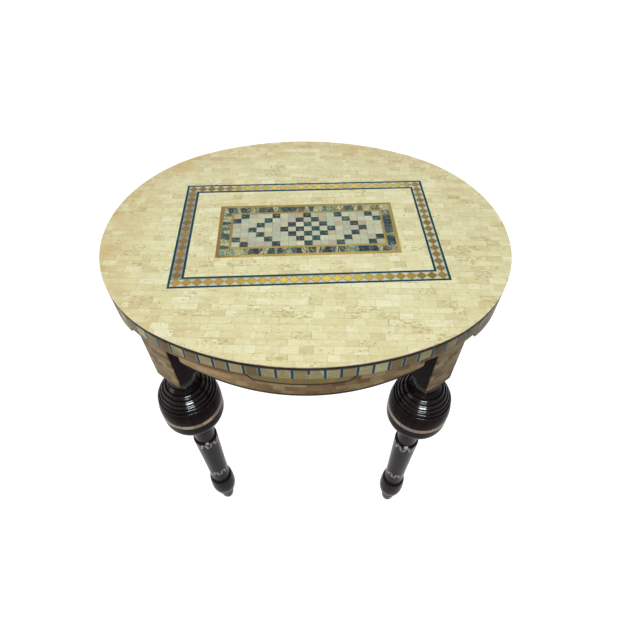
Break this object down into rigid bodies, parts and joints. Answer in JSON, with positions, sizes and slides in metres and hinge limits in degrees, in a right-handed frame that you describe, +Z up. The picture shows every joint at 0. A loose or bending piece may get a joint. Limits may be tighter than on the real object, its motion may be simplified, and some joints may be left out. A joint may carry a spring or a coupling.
{
  "type": "side table",
  "caption": "Oval side table on turned legs, its top, edge and aprons faced with mother of pearl and inlaid with diamonds and a checker panel.",
  "frame": {"origin": "on the floor, below the middle of the oval top", "axes": "+X along the top's long side, to the right seen from the front; -Y towards the front, where the diamond strip is; +Z up"},
  "size_m": [0.57, 0.468, 0.6],
  "materials": {
    "dark_wood": "very dark brown, glossy lacquer",
    "top_pearl": "polished cream mother of pearl tiles with fine joints",
    "edge_pearl": "brown mother of pearl tiles, satin",
    "pale_shell": "pale grey and pink shell, polished",
    "abalone": "polished abalone in blue, green and violet",
    "gold_inlay": "golden lip shell, polished",
    "blue_string": "dark blue, polished",
    "black_string": "black, polished",
    "steel": "plain steel",
    "nylon": "grey, matt"
  },
  "bodies": {
    "root": {"top_board": "dark_wood", "rim_string": "black_string", "top_pearl_field": "top_pearl", "border_outer_string": "blue_string", "border_inner_string": "blue_string", "border_diamonds": "gold_inlay", "border_ground": "top_pearl", "inner_pearl_field": "top_pearl", "panel_outer_frame": "gold_inlay", "panel_abalone_border": "abalone", "panel_inner_frame": "gold_inlay", "checker_light_cells": "pale_shell", "checker_dark_cells": "abalone", "edge_pearl_band": "edge_pearl", "edge_bars": "blue_string", "apron_front": "dark_wood", "apron_back": "dark_wood", "apron_left": "dark_wood", "apron_right": "dark_wood", "apron_front_pearl": "edge_pearl", "apron_back_pearl": "edge_pearl", "apron_left_pearl": "edge_pearl", "apron_right_pearl": "edge_pearl", "front_strip_string": "black_string", "front_strip_diamonds": "gold_inlay", "front_strip_ground": "top_pearl", "leg_front_left": "dark_wood", "leg_front_right": "dark_wood", "leg_back_left": "dark_wood", "leg_back_right": "dark_wood", "block_pearl_front_left": "edge_pearl", "block_pearl_front_right": "edge_pearl", "block_pearl_back_left": "edge_pearl", "block_pearl_back_right": "edge_pearl", "leg_shell_front_left": "pale_shell", "leg_shell_front_right": "pale_shell", "leg_shell_back_left": "pale_shell", "leg_shell_back_right": "pale_shell", "glide_front_left": "nylon", "glide_front_right": "nylon", "glide_back_left": "nylon", "glide_back_right": "nylon", "board_screws": "steel", "glue_blocks": "dark_wood"}
  },
  "joints": []
}
